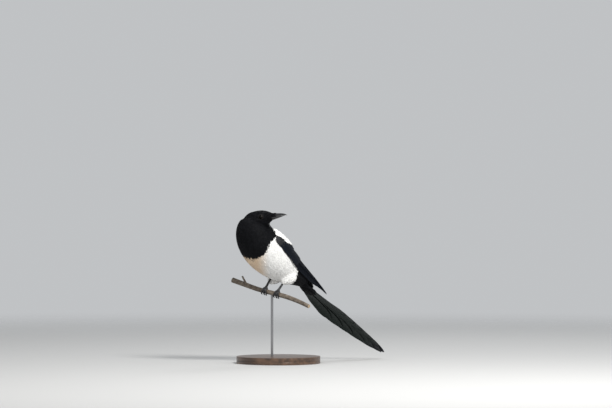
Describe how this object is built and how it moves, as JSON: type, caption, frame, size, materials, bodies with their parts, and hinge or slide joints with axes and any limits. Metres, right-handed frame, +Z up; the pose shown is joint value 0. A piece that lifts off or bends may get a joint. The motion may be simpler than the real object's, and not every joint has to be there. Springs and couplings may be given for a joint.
{
  "type": "eurasian magpie model",
  "caption": "Life-size standing model of a magpie that grips a short branch, long tail down and head turned back over its left shoulder, on a round display stand.",
  "frame": {"origin": "centre of the stand base, on its underside", "axes": "+Z up; the bird faces -Y and its tail runs back along +Y; +X is the bird's left"},
  "size_m": [0.1776, 0.38, 0.3066],
  "materials": {
    "black_feathers": "soft black feathers with a faint blue sheen",
    "body_feathers": "soft white feathers on belly, flanks and shoulders, black on bib, back and vent",
    "glossy_feathers": "glossy black vanes with a blue and green sheen",
    "eye": "dark brown, wet gloss",
    "bill": "black horn, semi-gloss",
    "claw": "black horn, semi-gloss",
    "leg": "black scaly skin, satin",
    "bark": "grey-brown bark, matt",
    "steel": "satin round bar",
    "turned_wood": "dark turned wood, satin varnish"
  },
  "bodies": {
    "root": {"head": "black_feathers", "neck": "black_feathers", "torso": "body_feathers", "bill_upper": "bill", "bill_lower": "bill", "tail": "glossy_feathers", "eye_left": "eye", "wing_left": "glossy_feathers", "thigh_left": "black_feathers", "tarsus_left": "leg", "foot_left": "leg", "claw_inner_left": "claw", "claw_middle_left": "claw", "claw_outer_left": "claw", "claw_hind_left": "claw", "eye_right": "eye", "wing_right": "glossy_feathers", "thigh_right": "black_feathers", "tarsus_right": "leg", "foot_right": "leg", "claw_inner_right": "claw", "claw_middle_right": "claw", "claw_outer_right": "claw", "claw_hind_right": "claw", "perch": "bark", "stand_rod": "steel", "stand_base": "turned_wood"}
  },
  "joints": []
}
